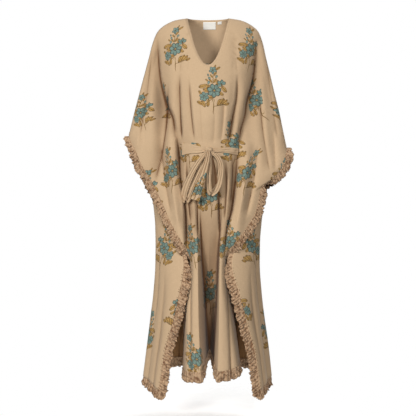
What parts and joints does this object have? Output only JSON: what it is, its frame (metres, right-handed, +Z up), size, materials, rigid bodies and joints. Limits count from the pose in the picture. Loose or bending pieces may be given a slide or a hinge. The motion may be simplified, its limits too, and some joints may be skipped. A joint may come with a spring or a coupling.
{
  "type": "kaftan",
  "caption": "Long V-neck kaftan with cape-like cut-in sleeves, gathered frill edges, side openings and a tie belt knotted in a bow at the front.",
  "frame": {"origin": "midway between the shoulders at the height of the shoulder line, where the wearer holds it up", "axes": "+X to the right as seen from the front, the front faces -Y, +Z up"},
  "size_m": [0.6335, 0.3795, 1.4642],
  "materials": {
    "cloth": "matt printed plain weave",
    "frill": "matt gathered edging",
    "belt": "matt plain weave",
    "label": "smooth woven label, blank"
  },
  "bodies": {
    "root": {"front_panel": "cloth", "back_panel": "cloth", "front_frill_left": "frill", "front_frill_right": "frill", "cuff_frill_left": "frill", "cuff_frill_right": "frill", "front_hem_frill": "frill", "back_frill": "frill", "belt_left": "belt", "belt_right": "belt", "belt_knot": "belt", "bow_loop_left": "belt", "bow_loop_right": "belt", "tie_end_front": "belt", "tie_end_back": "belt", "neck_label": "label", "size_tab": "label"}
  },
  "joints": []
}
